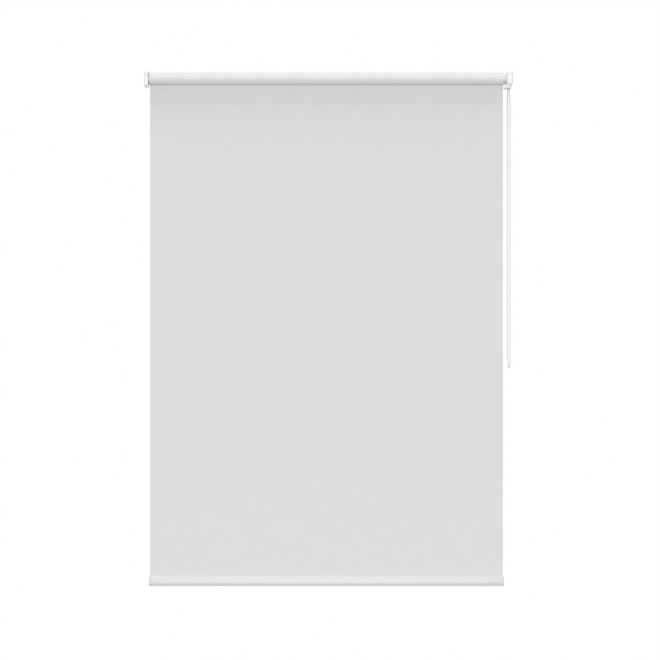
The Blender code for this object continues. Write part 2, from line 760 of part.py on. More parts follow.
def add_chain_guard(material, parent):
    """An arched shell over the wheel, open to the clutch base and flared at its mouth."""
    outer = GUARD_RADIUS
    low = -MOUTH_BOTTOM - GUARD_WALL
    side = guard_side_outline(0, -MOUTH_BOTTOM, outer + GAP, GUARD_END_X)
    guard = add_node("chain_guard", prism(side, "Y", -outer - GAP, outer + GAP), material, parent)
    far_x = GUARD_END_X + GUARD_WALL
    near_x = CAVITY_X - GUARD_WALL - 2 * MOUTH_FLARE_IN
    arch = prism(guard_outline(outer, low), "X", near_x, far_x)
    combine(guard, "chain_guard_arch", arch, "INTERSECT")
    inside = guard_side_outline(GUARD_WALL, low, outer, far_x)
    room = cut(guard, "chain_guard_room", prism(inside, "Y", -outer, outer))
    inner_arch = prism(guard_outline(CAVITY_RADIUS, low - GAP), "X", near_x, far_x + GAP)
    combine(room, "chain_guard_inner_arch", inner_arch, "INTERSECT")
    start = CAVITY_X - GUARD_WALL
    hole = cylinder("X", (0, 0), HUB_RADIUS + GAP, start - GAP, CAVITY_X + GAP, MIDDLE_STEPS)
    cut(guard, "chain_guard_hub_hole", hole)


def add_bead_chain(material, parent):
    """The endless chain as a plain round cord."""
    shift = Vector(parent.location)
    line = [point - shift for point in smooth_line(CHAIN_ROUTE, CHAIN_STEPS)]
    poly_curve("bead_chain", line, BEAD_DIAMETER / 2, 2, material, parent)


# ---------------------------------------------------------------- bottom bar


def bar_half_width(depth):
    """Half the bar's thickness at a depth under its top: bulged, with an elliptic foot."""
    bulged = BAR_EDGE_HALF + BAR_BULGE * (1 - (2 * depth / BAR_HEIGHT - 1) ** 2)
    into_foot = max(0, depth - BAR_HEIGHT + BAR_FOOT) / BAR_FOOT
    return bulged * math.sqrt(1 - min(into_foot, BAR_FOOT_END) ** 2)


def bar_outline(inset, top, bottom, steps):
    """The bar's (y, z) outline between two depths, moved in by a wall."""
    depths = [top + (bottom - top) * i / steps for i in range(steps + 1)]
    front = [(-bar_half_width(depth) + inset, -depth) for depth in depths]
    back = [(bar_half_width(depth) - inset, -depth) for depth in reversed(depths)]
    return front + back


def lower_room(inset):
    """The bar's lower hollow, which takes the end caps' prongs."""
    return bar_outline(BAR_WALL + inset, BAR_WEB_TOP + BAR_WEB + inset, BAR_HEIGHT - BAR_WALL - inset, 8)


def add_bottom_bar(material, parent):
    """A bulged hollow bar with a slot on top for the fabric and a channel for its rod."""
    body = prism(bar_outline(0, 0, BAR_HEIGHT, BAR_STEPS), "X", -EDGE_X, EDGE_X)
    bar = add_node("bottom_bar", body, material, parent)
    past = EDGE_X + BAR_CAP_THICKNESS
    channel = bar_outline(BAR_WALL, BAR_WALL, BAR_WEB_TOP, 4)
    cut(bar, "bar_channel", prism(channel, "X", -past, past))
    cut(bar, "bar_lower_room", prism(lower_room(0), "X", -past, past))
    slot = rectangle(-BAR_SLOT_HALF, BAR_SLOT_HALF, -BAR_WALL - GAP, GAP)
    cut(bar, "bar_slot", prism(slot, "X", -past, past))


def add_hem_rod(material, parent):
    """The rod that holds the fabric's lower end in the bar's channel."""
    centre = (0, -BAR_WALL - GAP - HEM_ROD_RADIUS)
    rod = cylinder("X", centre, HEM_ROD_RADIUS, -EDGE_X, EDGE_X, 16)
    add_node("hem_rod", rod, material, parent)


def add_bar_cap(name, side, material, parent):
    """An end cap with a prong in the bar's lower hollow."""
    start = EDGE_X + GAP
    outline = []
    for y, z in bar_outline(-BAR_CAP_RIM, 0, BAR_HEIGHT, BAR_STEPS):
        outline.append((y, z - BAR_CAP_RIM if z < -BAR_HEIGHT / 2 else z))
    plate = prism(outline, "X", side * start, side * (start + BAR_CAP_THICKNESS))
    outer = [e for e in plate.edges if all(abs(v.co.x) > start + GAP for v in e.verts)]
    rounding = BAR_CAP_THICKNESS / 3
    bmesh.ops.bevel(plate, geom=outer, offset=rounding, segments=2, profile=0.5, affect="EDGES")
    cap = add_node(name, plate, material, parent)
    prong = prism(lower_room(GAP), "X", side * (EDGE_X - BAR_CAP_PRONG), side * (start + GAP))
    join(cap, name + "_prong", prong)


# ---------------------------------------------------------------- assembly


def remove_everything():
    for obj in list(bpy.data.objects):
        bpy.data.objects.remove(obj, do_unlink=True)


def build():
    remove_everything()
    axis = (0, -AXIS_TO_WALL, 0)
    fixed = add_empty("fixed_side", axis)
    roller = add_empty("roller_spin_axis", axis)
    pin = add_empty("idle_pin_axis", axis)
    bar = add_empty("bar_lift_axis", (0, SHEET_Y - AXIS_TO_WALL, -FABRIC_DROP))

    bracket_white = make_material("bracket_steel_white", (0.78, 0.78, 0.78), 0.40)
    cover_white = make_material("cover_plastic", (0.86, 0.86, 0.86), 0.32)
    clutch_white = make_material("clutch_plastic", (0.84, 0.84, 0.84), 0.35)
    wheel_white = make_material("wheel_plastic", (0.82, 0.82, 0.83), 0.35)
    chain_white = make_material("chain_plastic", (0.84, 0.84, 0.84), 0.30)
    tube_metal = make_material("tube_aluminium", (0.80, 0.81, 0.82), 0.35, 1.0)
    steel = make_material("steel", (0.60, 0.60, 0.62), 0.30, 1.0)
    fabric = make_material("blind_fabric", (0.73, 0.73, 0.745), 0.80)
    spline_white = make_material("spline_plastic", (0.80, 0.80, 0.80), 0.45)
    bar_white = make_material("bar_painted", (0.84, 0.84, 0.84), 0.35)

    add_left_bracket(bracket_white, fixed)
    add_left_cover(cover_white, fixed)
    add_right_bracket(bracket_white, fixed)
    add_right_cover(cover_white, fixed)

    add_roller_tube(tube_metal, roller)
    add_fabric_spline(spline_white, roller)
    add_fabric_roll(fabric, roller)
    add_idle_plug(clutch_white, roller)
    add_idle_plug_cap(clutch_white, roller)
    add_idle_spring(steel, roller)
    add_idle_pin(steel, pin)
    add_drive_plug(clutch_white, roller)
    add_chain_wheel(wheel_white, roller)
    add_clutch_springs(steel, roller)

    add_clutch_base(clutch_white, fixed)
    add_clutch_end_clip(steel, fixed)
    add_chain_guard(clutch_white, fixed)
    add_bead_chain(chain_white, fixed)

    add_fabric_panel(fabric, fixed)
    add_bottom_bar(bar_white, bar)
    add_hem_rod(spline_white, bar)
    add_bar_cap("bar_cap_left", -1, cover_white, bar)
    add_bar_cap("bar_cap_right", 1, cover_white, bar)


build()
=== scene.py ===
import math
from functools import partial

import bmesh
import bpy
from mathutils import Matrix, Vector


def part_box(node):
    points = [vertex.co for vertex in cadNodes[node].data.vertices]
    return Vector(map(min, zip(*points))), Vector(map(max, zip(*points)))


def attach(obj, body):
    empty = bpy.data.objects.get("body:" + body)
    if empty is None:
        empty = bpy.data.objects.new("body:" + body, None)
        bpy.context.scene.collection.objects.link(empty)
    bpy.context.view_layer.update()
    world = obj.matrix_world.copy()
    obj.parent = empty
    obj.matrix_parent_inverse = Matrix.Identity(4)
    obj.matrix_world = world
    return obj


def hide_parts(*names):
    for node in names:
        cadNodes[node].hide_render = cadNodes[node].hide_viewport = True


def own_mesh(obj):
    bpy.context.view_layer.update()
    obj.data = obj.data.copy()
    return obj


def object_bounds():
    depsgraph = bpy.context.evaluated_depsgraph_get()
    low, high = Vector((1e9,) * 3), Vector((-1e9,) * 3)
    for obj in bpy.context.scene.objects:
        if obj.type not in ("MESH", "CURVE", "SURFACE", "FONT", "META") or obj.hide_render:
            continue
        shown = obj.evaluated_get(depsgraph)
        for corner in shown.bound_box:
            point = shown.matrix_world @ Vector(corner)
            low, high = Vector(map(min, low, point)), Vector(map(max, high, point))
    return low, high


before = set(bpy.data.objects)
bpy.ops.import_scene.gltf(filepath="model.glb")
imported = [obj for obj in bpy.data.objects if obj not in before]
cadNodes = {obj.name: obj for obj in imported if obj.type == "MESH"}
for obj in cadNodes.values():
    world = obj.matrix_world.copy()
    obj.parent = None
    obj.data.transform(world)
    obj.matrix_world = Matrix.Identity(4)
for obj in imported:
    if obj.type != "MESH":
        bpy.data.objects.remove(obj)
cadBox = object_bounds()
mm = 0.001


# general helpers

def toLinear(hexColour):
    # sRGB hex to the linear colour that shaders use
    channels = [int(hexColour[i:i + 2], 16) / 255 for i in (0, 2, 4)]
    linear = [c / 12.92 if c <= 0.04045 else ((c + 0.055) / 1.055) ** 2.4 for c in channels]
    return (*linear, 1.0)


def addNode(tree, kind, props={}, values={}, links={}):
    # one node with its settings, its socket values and the outputs that feed it
    node = tree.nodes.new(kind)
    for key, value in props.items():
        setattr(node, key, value)
    for key, value in values.items():
        node.inputs[key].default_value = value
    for key, source in links.items():
        tree.links.new(source, node.inputs[key])
    return node


def addMath(tree, operation, a, b=None):
    # one sum on outputs or plain numbers
    node = addNode(tree, "ShaderNodeMath", props={"operation": operation})
    for key, source in ((0, a), (1, b)):
        if isinstance(source, (int, float)):
            node.inputs[key].default_value = source
        elif source is not None:
            tree.links.new(source, node.inputs[key])
    return node.outputs[0]


def smoothstep(t):
    t = min(max(t, 0.0), 1.0)
    return t * t * (3 - 2 * t)


def addObject(name, data):
    item = bpy.data.objects.new(name, data)
    bpy.context.scene.collection.objects.link(item)
    return item


def takeMesh(name, body):
    # a bmesh becomes a mesh and is used up
    mesh = bpy.data.meshes.new(name)
    body.to_mesh(mesh)
    body.free()
    return mesh


def smoothMesh(mesh, sharpAngle):
    # smooth shading that breaks at edges sharper than the angle
    mesh.shade_smooth()
    mesh.set_sharp_from_angle(angle=math.radians(sharpAngle))


def makePiece(name, body, material, sharpAngle=35):
    # a bmesh becomes a smooth-shaded object at the origin
    mesh = takeMesh(name, body)
    smoothMesh(mesh, sharpAngle)
    mesh.materials.append(material)
    return addObject(name, mesh)


def settle(piece, sharpAngle=35):
    # turns a piece's modifiers into plain mesh
    graph = bpy.context.evaluated_depsgraph_get()
    mesh = bpy.data.meshes.new_from_object(piece.evaluated_get(graph))
    piece.modifiers.clear()
    piece.data = mesh
    smoothMesh(mesh, sharpAngle)
    return piece


def addBevel(piece, width, segments=2, angle=40):
    bevel = piece.modifiers.new("roundedEdges", "BEVEL")
    bevel.width = width
    bevel.segments = segments
    bevel.limit_method = "ANGLE"
    bevel.angle_limit = math.radians(angle)
    bevel.harden_normals = False


def addShell(piece, thickness, offset):
    shell = piece.modifiers.new("wall", "SOLIDIFY")
    shell.thickness = thickness
    shell.offset = offset
    shell.use_even_offset = True


def cutAway(piece, body):
    # cuts a bmesh out of a piece
    tool = addObject("cutter", takeMesh("cutter", body))
    cut = piece.modifiers.new("cut", "BOOLEAN")
    cut.operation = "DIFFERENCE"
    cut.solver = "EXACT"
    cut.object = tool
    settle(piece)
    bpy.data.objects.remove(tool)


def standFor(piece, node, body):
    # a finished piece takes a CAD node's place on its body
    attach(piece, body)
    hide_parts(node)


def arc(centre, radius, first, last, steps):
    # points from one angle to another, in degrees, both ends included
    points = []
    for i in range(steps + 1):
        angle = math.radians(first + (last - first) * i / steps)
        points.append((centre[0] + radius * math.cos(angle), centre[1] + radius * math.sin(angle)))
    return points


def extrudeX(loops, start, end):
    # flat (y, z) loops, the first round the others, pushed along X
    body = bmesh.new()
    for loop in loops:
        verts = [body.verts.new((start, y, z)) for y, z in loop]
        for a, b in zip(verts, verts[1:] + verts[:1]):
            body.edges.new((a, b))
    bmesh.ops.triangle_fill(body, edges=body.edges, use_beauty=True, use_dissolve=True)
    pushed = bmesh.ops.extrude_face_region(body, geom=list(body.faces))
    moved = [item for item in pushed["geom"] if isinstance(item, bmesh.types.BMVert)]
    bmesh.ops.translate(body, verts=moved, vec=(end - start, 0, 0))
    bmesh.ops.recalc_face_normals(body, faces=body.faces)
    return body


def boxBody(low, high):
    # a block between two corners
    body = bmesh.new()
    bmesh.ops.create_cube(body, size=1)
    for vert in body.verts:
        for k in range(3):
            vert.co[k] = low[k] if vert.co[k] < 0 else high[k]
    return body


# geometry node trees

def startTree(name, sockets):
    # sockets: name -> (socket type, default)
    tree = bpy.data.node_groups.new(name, "GeometryNodeTree")
    tree.is_modifier = True
    tree.interface.new_socket("Geometry", in_out="INPUT", socket_type="NodeSocketGeometry")
    for key, (kind, default) in sockets.items():
        socket = tree.interface.new_socket(key, in_out="INPUT", socket_type=kind)
        if default is not None:
            socket.default_value = default
    tree.interface.new_socket("Geometry", in_out="OUTPUT", socket_type="NodeSocketGeometry")
    return tree, addNode(tree, "NodeGroupInput").outputs


def endTree(tree, geometry, material):
    # real mesh and one material, because the export drops instances
    real = addNode(tree, "GeometryNodeRealizeInstances", links={"Geometry": geometry})
    smooth = addNode(tree, "GeometryNodeSetShadeSmooth", links={"Geometry": real.outputs["Geometry"]})
    finish = addNode(tree, "GeometryNodeSetMaterial", links={
        "Geometry": smooth.outputs["Geometry"], "Material": material})
    addNode(tree, "NodeGroupOutput", links={"Geometry": finish.outputs["Geometry"]})


def growPiece(name, seed, tree, values, sharpAngle=35):
    # runs a tree on a seed mesh and keeps its result as a plain mesh
    piece = addObject(name, seed)
    grown = piece.modifiers.new(tree.name, "NODES")
    grown.node_group = tree
    for item in tree.interface.items_tree:
        if item.in_out == "INPUT" and item.name in values:
            grown[item.identifier] = values[item.name]
    return settle(piece, sharpAngle)


def lineMesh(name, points, closed=False):
    mesh = bpy.data.meshes.new(name)
    edges = [(i, i + 1) for i in range(len(points) - 1)]
    if closed:
        edges.append((len(points) - 1, 0))
    mesh.from_pydata([tuple(p) for p in points], edges, [])
    return mesh


# camera and light

studio = {
    "cameraDistance": 6.0,  # to the fabric
    "frameWidth": 1.683,  # seen at the fabric
    "sensorWidth": 36,
    "aimRight": 0.009,
    "aimDown": 0.6395,  # under the roller's axis
    "skyHigh": 0.54,  # strength overhead
    "skyLow": 0.25,  # strength from below
    "skyColour": "FFFFFF",
    # azimuth from the front towards the right, elevation and width of the source in degrees, strength
    "frontLight": (0, -5, 32, 1.47),
    "topLight": (-30, 76, 40, 1.12),
    "rearLight": (180, 8, 50, 1.20),
}

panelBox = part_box("fabric_panel")
panelFront = panelBox[0].y
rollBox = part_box("fabric_roll")
axisY = (rollBox[0].y + rollBox[1].y) / 2
axisZ = (rollBox[0].z + rollBox[1].z) / 2

cameraData = bpy.data.cameras.new("camera")
cameraData.sensor_width = studio["sensorWidth"]
cameraData.lens = studio["sensorWidth"] * studio["cameraDistance"] / studio["frameWidth"]
cameraData.clip_start = 0.1
cameraData.clip_end = 50
camera = addObject("camera", cameraData)
camera.location = (studio["aimRight"], panelFront - studio["cameraDistance"], axisZ - studio["aimDown"])
camera.rotation_euler = (math.pi / 2, 0, 0)
bpy.context.scene.camera = camera


def addBroadLight(name, azimuth, elevation, width, strength):
    # light from a wide patch of the surround, the same all over the blind
    data = bpy.data.lights.new(name, "SUN")
    data.angle = math.radians(width)
    data.energy = strength
    lamp = addObject(name, data)
    turn = math.radians(azimuth)
    rise = math.radians(elevation)
    toLamp = Vector((math.sin(turn) * math.cos(rise), -math.cos(turn) * math.cos(rise), math.sin(rise)))
    lamp.rotation_euler = toLamp.to_track_quat("Z", "Y").to_euler()


for lampName in ("frontLight", "topLight", "rearLight"):
    addBroadLight(lampName, *studio[lampName])

# a white surround that shows as white and lights the blind more gently than it looks
world = bpy.data.worlds.new("studio")
world.use_nodes = True
bpy.context.scene.world = world
sky = world.node_tree
sky.nodes.clear()
seen = addNode(sky, "ShaderNodeBackground", values={
    "Color": toLinear(studio["skyColour"]), "Strength": 1.0})
upward = addNode(sky, "ShaderNodeSeparateXYZ", links={
    "Vector": addNode(sky, "ShaderNodeTexCoord").outputs["Generated"]})
fade = addNode(sky, "ShaderNodeMapRange", values={
    "From Min": -1.0, "From Max": 1.0, "To Min": studio["skyLow"], "To Max": studio["skyHigh"]},
    links={"Value": upward.outputs["Z"]})
lit = addNode(sky, "ShaderNodeBackground", values={"Color": toLinear(studio["skyColour"])}, links={
    "Strength": fade.outputs["Result"]})
ray = addNode(sky, "ShaderNodeLightPath")
both = addNode(sky, "ShaderNodeMixShader", links={
    0: ray.outputs["Is Camera Ray"], 1: lit.outputs[0], 2: seen.outputs[0]})
addNode(sky, "ShaderNodeOutputWorld", links={"Surface": both.outputs[0]})

scene = bpy.context.scene
scene.view_settings.view_transform = "Standard"
scene.view_settings.look = "None"
scene.cycles.use_denoising = True
print("camera and lights are in place")


# materials

def startMaterial(name):
    # an empty material with its surface shader
    material = bpy.data.materials.new(name)
    material.use_nodes = True
    tree = material.node_tree
    tree.nodes.clear()
    shader = addNode(tree, "ShaderNodeBsdfPrincipled")
    addNode(tree, "ShaderNodeOutputMaterial", links={"Surface": shader.outputs["BSDF"]})
    return material, tree, shader


def addNoise(tree, place, size, detail, roughness=0.5):
    # a pattern between 0 and 1 whose grains are about this size
    noise = addNode(tree, "ShaderNodeTexNoise", values={
        "Scale": 1 / size, "Detail": detail, "Roughness": roughness}, links={"Vector": place})
    return noise.outputs["Fac"]


def stretchPlace(tree, place, scale):
    # a share under 1 draws the pattern out along that axis
    mapping = addNode(tree, "ShaderNodeMapping", values={"Scale": scale}, links={"Vector": place})
    return mapping.outputs["Vector"]


def addTone(tree, shader, settings, pattern):
    # the colour wanders between two near tones
    tone = addNode(tree, "ShaderNodeMix", props={"data_type": "RGBA"}, values={
        6: toLinear(settings["low"]), 7: toLinear(settings["high"])}, links={0: pattern})
    tree.links.new(tone.outputs[2], shader.inputs["Base Color"])


def addGloss(tree, shader, roughness, spread, pattern):
    # the roughness goes this far below and above its middle value
    gloss = addNode(tree, "ShaderNodeMapRange", values={
        "To Min": roughness - spread[0], "To Max": roughness + spread[1]}, links={"Value": pattern})
    tree.links.new(gloss.outputs["Result"], shader.inputs["Roughness"])


def addRelief(tree, shader, strength, depth, pattern):
    # fine bumps for the shading alone
    relief = addNode(tree, "ShaderNodeBump", values={
        "Strength": strength, "Distance": depth}, links={"Height": pattern})
    tree.links.new(relief.outputs["Normal"], shader.inputs["Normal"])


moulded = {
    "grainDetail": 3.0,
    "grainRoughness": 0.6,
    "grainDepth": 0.02 * mm,
    "flowDetail": 2.0,
    "glossSpread": (0.05, 0.07),
}


def mouldedPlastic(name, settings):
    # injection-moulded plastic: an even tone under a faint spark-eroded grain that breaks up the gloss
    material, tree, shader = startMaterial(name)
    shader.inputs["IOR"].default_value = settings["ior"]
    place = addNode(tree, "ShaderNodeTexCoord").outputs["Object"]
    grain = addNoise(tree, place, settings["grain"], moulded["grainDetail"], moulded["grainRoughness"])
    flow = addNoise(tree, place, settings["flow"], moulded["flowDetail"])
    addTone(tree, shader, settings, flow)
    addGloss(tree, shader, settings["roughness"], moulded["glossSpread"], grain)
    addRelief(tree, shader, settings["relief"], moulded["grainDepth"], grain)
    return material


coated = {
    "ior": 1.5,
    "peelDetail": 1.0,
    "peelRelief": 0.35,
    "peelDepth": 0.03 * mm,
    "cloudDetail": 3.0,
    "glossSpread": (0.04, 0.06),
}


def powderCoat(name, settings):
    # baked powder paint: white, satin, with the soft dimples called orange peel
    material, tree, shader = startMaterial(name)
    shader.inputs["IOR"].default_value = coated["ior"]
    place = addNode(tree, "ShaderNodeTexCoord").outputs["Object"]
    drawn = stretchPlace(tree, place, (settings["drawn"], 1, 1))
    peel = addNoise(tree, drawn, settings["peel"], coated["peelDetail"])
    cloud = addNoise(tree, place, settings["cloud"], coated["cloudDetail"])
    addTone(tree, shader, settings, cloud)
    addGloss(tree, shader, settings["roughness"], coated["glossSpread"], cloud)
    addRelief(tree, shader, coated["peelRelief"], coated["peelDepth"], peel)
    return material


pulled = {
    "stretch": 0.02,  # a line is this share as fine along X as across
    "lineDetail": 4.0,
    "lineRoughness": 0.65,
    "lineRelief": 0.3,
    "lineDepth": 0.01 * mm,
    "glossSpread": (0.08, 0.10),
}


def drawnMetal(name, settings):
    # metal pulled through a die: fine lines along X that blur its reflections across them
    material, tree, shader = startMaterial(name)
    shader.inputs["Metallic"].default_value = 1.0
    place = addNode(tree, "ShaderNodeTexCoord").outputs["Object"]
    along = stretchPlace(tree, place, (pulled["stretch"], 1, 1))
    lines = addNoise(tree, along, settings["line"], pulled["lineDetail"], pulled["lineRoughness"])
    addTone(tree, shader, settings, lines)
    addGloss(tree, shader, settings["roughness"], pulled["glossSpread"], lines)
    addRelief(tree, shader, pulled["lineRelief"], pulled["lineDepth"], lines)
    return material


woven = {
    "ior": 1.5,
    "thread": 1.0 * mm,
    "roughness": 0.82,
    "sheen": 0.12,
    "sheenRoughness": 0.5,
    "slub": 1.6 * mm,
    "slubStretch": 0.03,  # a slub is this share as fine along its yarn as across
    "slubDetail": 3.0,
    "slubRoughness": 0.6,
    "slubLow": 0.7,  # sum of both yarns' noise at the darker and the lighter tone
    "slubHigh": 1.3,
    "relief": 0.25,
    "depth": 0.05 * mm,
}


def wovenPolyester(name, settings):
    # plain-weave polyester: dry and matt, over-and-under threads with uneven, slubby yarn
    material, tree, shader = startMaterial(name)
    shader.inputs["IOR"].default_value = woven["ior"]
    shader.inputs["Roughness"].default_value = woven["roughness"]
    shader.inputs["Sheen Weight"].default_value = woven["sheen"]
    shader.inputs["Sheen Roughness"].default_value = woven["sheenRoughness"]
    place = addNode(tree, "ShaderNodeAttribute", props={"attribute_name": "clothPlace"}).outputs["Vector"]
    calc = partial(addMath, tree)
    split = addNode(tree, "ShaderNodeSeparateXYZ", links={"Vector": place})
    turns = 2 * math.pi / (2 * woven["thread"])  # one over and one under
    waves = [calc("SINE", calc("MULTIPLY", split.outputs[axis], turns)) for axis in ("X", "Y")]
    slubs = []
    for scale in ((1, woven["slubStretch"], 1), (woven["slubStretch"], 1, 1)):
        yarn = stretchPlace(tree, place, scale)
        slubs.append(addNoise(tree, yarn, woven["slub"], woven["slubDetail"], woven["slubRoughness"]))
    mixed = calc("ADD", slubs[0], slubs[1])
    shade = addNode(tree, "ShaderNodeMapRange", values={
        "From Min": woven["slubLow"], "From Max": woven["slubHigh"]}, links={"Value": mixed})
    addTone(tree, shader, settings, shade.outputs["Result"])
    weave = calc("MULTIPLY", waves[0], waves[1])
    addRelief(tree, shader, woven["relief"], woven["depth"], calc("ADD", weave, mixed))
    return material


# acrylonitrile plastic with a satin mould finish: bright, slightly glossy covers
absSatin = mouldedPlastic("absSatinWhite", {
    "low": "EFEFEE", "high": "F3F3F3", "grain": 0.25 * mm, "flow": 14 * mm,
    "roughness": 0.36, "relief": 0.25, "ior": 1.54})
# the same plastic in a softer white, for the bar's caps and the chain guard
absSatinTinted = mouldedPlastic("absSatinTintedWhite", {
    "low": "E4E4E3", "high": "E8E8E8", "grain": 0.25 * mm, "flow": 14 * mm,
    "roughness": 0.38, "relief": 0.25, "ior": 1.54})
# acetal, polished in the mould: the slippery shine of beads and wheel
acetalGloss = mouldedPlastic("acetalGlossWhite", {
    "low": "ECECEC", "high": "F3F3F2", "grain": 0.4 * mm, "flow": 6 * mm,
    "roughness": 0.26, "relief": 0.10, "ior": 1.48})
# nylon with short glass fibre: greyer, drier and a little mottled
nylonMatt = mouldedPlastic("nylonMattPaleGrey", {
    "low": "DCDCDA", "high": "E8E8E6", "grain": 0.5 * mm, "flow": 4 * mm,
    "roughness": 0.5, "relief": 0.4, "ior": 1.53})
# extruded PVC: plain, dull white
pvcDull = mouldedPlastic("pvcDullWhite", {
    "low": "E4E4E2", "high": "EBEBEA", "grain": 0.8 * mm, "flow": 20 * mm,
    "roughness": 0.55, "relief": 0.2, "ior": 1.53})
# pressed steel under baked powder paint: satin white with orange peel
paintedSteel = powderCoat("powderCoatedSteelWhite", {
    "low": "EEEEEE", "high": "F3F3F3", "peel": 0.9 * mm, "cloud": 30 * mm, "drawn": 1.0,
    "roughness": 0.42})
# extruded aluminium under powder paint: smoother, its faint die lines drawn out along the bar
paintedAluminium = powderCoat("powderCoatedAluminiumWhite", {
    "low": "E2E2E2", "high": "E6E6E6", "peel": 1.2 * mm, "cloud": 60 * mm, "drawn": 0.06,
    "roughness": 0.38})
# mill-finish aluminium: soft grey with die lines along the tube
millAluminium = drawnMetal("millAluminium", {
    "low": "C4C6C8", "high": "DADBDC", "line": 0.35 * mm, "roughness": 0.34})
# hard-drawn spring steel: darker and brighter in its reflections
springSteel = drawnMetal("drawnSpringSteel", {
    "low": "8E8E92", "high": "B4B4B8", "line": 0.2 * mm, "roughness": 0.26})
# blind cloth: pale grey-white, its 0.5 mm threads drawn twice as coarse so that they can show
blindCloth = wovenPolyester("plainWeavePolyester", {"low": "DFDFE1", "high": "E4E4E6"})
# the same cloth wound up, a shade lighter: painted light that brightens the roll's shading; the layers
# under it also send some light back
woundCloth = wovenPolyester("plainWeavePolyesterWoundPaintedLighter", {"low": "E5E5E7", "high": "EAEAEC"})
print("materials are made")


# fabric: the wound roll and the hanging panel

cloth = {
    "thickness": 0.35 * mm,
    "layerPitch": 0.36 * mm,
    "rollRadius": 15.2 * mm,  # outside
    "turns": 1.9,
    "stepsPerTurn": 96,
    "stepsAcross": 36,
    "ridgeAngle": 138,  # where the cloth's folded end lies under the layers
    "ridgeHeight": 0.05 * mm,
    "ridgeSharpness": 9.0,
    "ridgeWander": 9.0,  # grains of its noise per metre of roll
    "ridgeDrift": 0.35,  # radians over which it wanders
    "lipAngle": 24,  # how far the panel is seen to lie on the roll's back
    "lipSteps": 5,
    "panelColumns": 72,
    "panelRows": 110,
    "sway": 0.4 * mm,  # height of the hanging cloth's slow waves, all of them towards the wall
    "swayStart": 30 * mm,  # flat down to here under the axis, and up to here over the bar
    "swayFadeHigh": 250 * mm,
    "swayFadeLow": 200 * mm,
    # radians per metre and where the wave starts, across and then down
    "broadWave": (5.1, 1.3, 2.3, 0.4),
    "narrowWave": (11.0, 0.0, -3.0, 0.0),
    "narrowShare": 0.5,
    "edgeCurl": 0.30 * mm,
    "edgeReach": 9 * mm,
    "curlPeak": 0.4,  # shares of the reach
    "curlSpread": 0.28,
    "curlFade": 50 * mm,  # under the axis
    "edgeColumns": (0.8 * mm, 2.2 * mm, 3.8 * mm, 5.6 * mm, 8 * mm),  # more columns near the edges
    "sharpAngle": 50,
}
edgeX = rollBox[1].x


def rollTree():
    # a flat grid wound into a spiral: X stays, Y becomes the way round
    tree, given = startTree("woundCloth", {
        "Width": ("NodeSocketFloat", 1.0),
        "Columns": ("NodeSocketInt", 10),
        "Steps": ("NodeSocketInt", 100),
        "Turns": ("NodeSocketFloat", 2.0),
        "Outer Radius": ("NodeSocketFloat", 0.015),
        "Layer Pitch": ("NodeSocketFloat", 0.0004),
        "Ridge Angle": ("NodeSocketFloat", 2.4),
        "Ridge Height": ("NodeSocketFloat", 0.0002),
        "Centre": ("NodeSocketVector", None),
        "Seed": ("NodeSocketFloat", 3.0),
        "Material": ("NodeSocketMaterial", None),
    })
    calc = partial(addMath, tree)
    grid = addNode(tree, "GeometryNodeMeshGrid", values={"Size Y": 1.0}, links={
        "Size X": given["Width"], "Vertices X": given["Columns"], "Vertices Y": given["Steps"]})
    place = addNode(tree, "GeometryNodeInputPosition")
    xyz = addNode(tree, "ShaderNodeSeparateXYZ", links={"Vector": place.outputs[0]})
    share = calc("ADD", xyz.outputs["Y"], 0.5)
    turn = calc("MULTIPLY", share, given["Turns"])
    angle = calc("MULTIPLY", turn, 2 * math.pi)
    radius = calc("SUBTRACT", given["Outer Radius"], calc("MULTIPLY", turn, given["Layer Pitch"]))
    # the folded end raises the layers over it, a little unevenly along the roll
    wander = addNode(tree, "ShaderNodeTexNoise", props={"noise_dimensions": "1D"}, values={
        "Scale": cloth["ridgeWander"], "Detail": 1.0},
        links={"W": calc("ADD", xyz.outputs["X"], given["Seed"])})
    drift = calc("MULTIPLY", calc("SUBTRACT", wander.outputs["Fac"], 0.5), cloth["ridgeDrift"])
    away = calc("SUBTRACT", calc("SUBTRACT", angle, given["Ridge Angle"]), drift)
    near = calc("MULTIPLY", calc("SINE", calc("MULTIPLY", away, 0.5)), cloth["ridgeSharpness"])
    bump = calc("POWER", math.e, calc("MULTIPLY", calc("MULTIPLY", near, near), -1.0))
    lifted = calc("ADD", radius, calc("MULTIPLY", bump, given["Ridge Height"]))
    moved = addNode(tree, "ShaderNodeCombineXYZ", links={
        "X": xyz.outputs["X"],
        "Y": calc("MULTIPLY", lifted, calc("COSINE", angle)),
        "Z": calc("MULTIPLY", lifted, calc("SINE", angle))})
    placed = addNode(tree, "ShaderNodeVectorMath", props={"operation": "ADD"}, links={
        0: moved.outputs[0], 1: given["Centre"]})
    length = calc("MULTIPLY", angle, given["Outer Radius"])
    pattern = addNode(tree, "ShaderNodeCombineXYZ", links={"X": xyz.outputs["X"], "Y": length})
    kept = addNode(tree, "GeometryNodeStoreNamedAttribute",
                   props={"data_type": "FLOAT_VECTOR", "domain": "POINT"},
                   values={"Name": "clothPlace"},
                   links={"Geometry": grid.outputs["Mesh"], "Value": pattern.outputs[0]})
    wound = addNode(tree, "GeometryNodeSetPosition", links={
        "Geometry": kept.outputs["Geometry"], "Position": placed.outputs[0]})
    endTree(tree, wound.outputs["Geometry"], given["Material"])
    return tree


